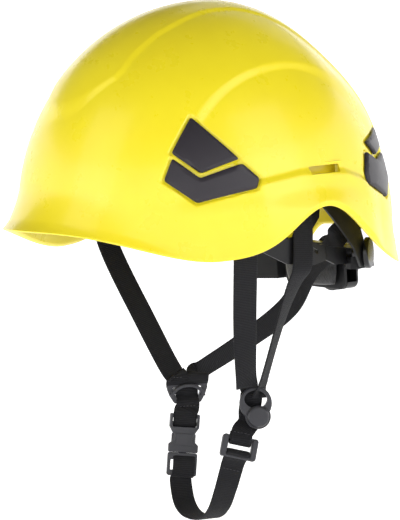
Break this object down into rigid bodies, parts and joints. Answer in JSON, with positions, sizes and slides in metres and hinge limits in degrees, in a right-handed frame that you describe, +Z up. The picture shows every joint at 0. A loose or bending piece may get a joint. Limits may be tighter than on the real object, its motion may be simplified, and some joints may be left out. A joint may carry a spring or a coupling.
{
  "type": "climbing helmet",
  "caption": "Hard-shell climbing helmet with brim, lamp clips, textile cradle, knob-adjusted headband and buckled webbing chin strap.",
  "frame": {"origin": "middle of the head opening, at the height of the brow", "axes": "+Z up, front of the helmet towards -Y, wearer's left towards +X"},
  "size_m": [0.2184, 0.2679, 0.3414],
  "materials": {
    "shell_yellow": "satin moulded",
    "clip_plastic": "satin",
    "band_plastic": "satin",
    "gloss_black": "semi gloss",
    "buckle_plastic": "satin",
    "webbing": "ribbed polyester",
    "comfort_foam": "knit over foam"
  },
  "bodies": {
    "helmet": {"adjuster_strap": "webbing", "arm_pivots": "band_plastic", "band_hooks": "band_plastic", "brow_band": "band_plastic", "brow_pad": "comfort_foam", "buckle_socket": "buckle_plastic", "buckle_strap": "webbing", "chin_strap": "webbing", "cradle_anchors": "band_plastic", "cradle_strap_front_left": "webbing", "cradle_strap_front_right": "webbing", "cradle_strap_middle": "webbing", "front_left_slot_cover": "clip_plastic", "front_right_slot_cover": "clip_plastic", "left_front_strap": "webbing", "left_rear_strap": "webbing", "left_side_band": "band_plastic", "left_side_tail": "band_plastic", "rear_left_slot_cover": "clip_plastic", "rear_right_slot_cover": "clip_plastic", "right_front_strap": "webbing", "right_rear_strap": "webbing", "right_side_band": "band_plastic", "right_side_tail": "band_plastic", "shell": "shell_yellow", "side_adjuster": "buckle_plastic", "strap_anchors": "band_plastic", "strap_divider": "buckle_plastic", "tri_glide": "buckle_plastic"},
    "knob": {"size_knob": "gloss_black", "pinion": "band_plastic"},
    "rack_left": {"left_rack": "band_plastic"},
    "rack_right": {"right_rack": "band_plastic"},
    "nape": {"nape_base": "band_plastic", "nape_cover": "gloss_black", "nape_pad": "comfort_foam", "left_rear_arm": "band_plastic", "right_rear_arm": "band_plastic", "left_side_cap": "gloss_black", "right_side_cap": "gloss_black", "left_rack_block": "band_plastic", "right_rack_block": "band_plastic"},
    "plug": {"buckle_plug": "buckle_plastic"},
    "prong_left": {"left_prong": "buckle_plastic"},
    "prong_right": {"right_prong": "buckle_plastic"},
    "button": {"adjuster_button": "buckle_plastic"},
    "clip_front_left": {"front_left_lamp_clip": "clip_plastic"},
    "clip_front_right": {"front_right_lamp_clip": "clip_plastic"},
    "clip_rear_left": {"rear_left_lamp_clip": "clip_plastic"},
    "clip_rear_right": {"rear_right_lamp_clip": "clip_plastic"}
  },
  "joints": [
    {"name": "nape_tilt", "type": "hinge", "parent": "helmet", "child": "nape", "pos_m": [0, 0.026, 0.004], "axis": [1, 0, 0], "range_deg": [-4, 6], "deforming": ["left_side_tail", "right_side_tail"]},
    {"name": "knob_turn", "type": "hinge", "parent": "nape", "child": "knob", "pos_m": [0, 0.08, -0.052], "axis": [0, 1, 0], "range_deg": [-70, 70]},
    {"name": "rack_left_slide", "type": "slide", "parent": "nape", "child": "rack_left", "axis": [1, 0, 0], "range_m": [-0.0065, 0.0065]},
    {"name": "rack_right_slide", "type": "slide", "parent": "nape", "child": "rack_right", "axis": [-1, 0, 0], "range_m": [-0.0065, 0.0065]},
    {"name": "buckle_release", "type": "slide", "parent": "helmet", "child": "plug", "axis": [0.0486, -0.1701, -0.9842], "range_m": [0, 0.016], "deforming": ["chin_strap"]},
    {"name": "prong_left_flex", "type": "hinge", "parent": "plug", "child": "prong_left", "pos_m": [-0.03778, -0.00881, -0.17391], "axis": [0.8858, -0.4479, 0.1212], "range_deg": [0, 4], "stiffness_Nm_per_rad": 0.05},
    {"name": "prong_right_flex", "type": "hinge", "parent": "plug", "child": "prong_right", "pos_m": [-0.04369, -0.02004, -0.17227], "axis": [-0.8858, 0.4479, -0.1212], "range_deg": [0, 4], "stiffness_Nm_per_rad": 0.05},
    {"name": "adjuster_press", "type": "slide", "parent": "helmet", "child": "button", "axis": [-0.8553, 0.4973, -0.1452], "range_m": [0, 0.0018], "stiffness_N_per_m": 150},
    {"name": "clip_front_left_flex", "type": "hinge", "parent": "helmet", "child": "clip_front_left", "pos_m": [0.09265, -0.05545, 0.00835], "axis": [0.2937, 0.9423, 0.1609], "range_deg": [0, 5], "stiffness_Nm_per_rad": 0.2},
    {"name": "clip_front_right_flex", "type": "hinge", "parent": "helmet", "child": "clip_front_right", "pos_m": [-0.09265, -0.05545, 0.00835], "axis": [0.2937, -0.9423, -0.1609], "range_deg": [0, 5], "stiffness_Nm_per_rad": 0.2},
    {"name": "clip_rear_left_flex", "type": "hinge", "parent": "helmet", "child": "clip_rear_left", "pos_m": [0.08475, 0.063, 0.0015], "axis": [-0.4049, 0.8421, -0.3563], "range_deg": [0, 5], "stiffness_Nm_per_rad": 0.2},
    {"name": "clip_rear_right_flex", "type": "hinge", "parent": "helmet", "child": "clip_rear_right", "pos_m": [-0.08475, 0.063, 0.0015], "axis": [-0.4049, -0.8421, 0.3563], "range_deg": [0, 5], "stiffness_Nm_per_rad": 0.2}
  ],
  "couplings": [
    {"joint": "rack_left_slide", "follows": "knob_turn", "m_per_rad": 0.005},
    {"joint": "rack_right_slide", "follows": "knob_turn", "m_per_rad": 0.005}
  ]
}
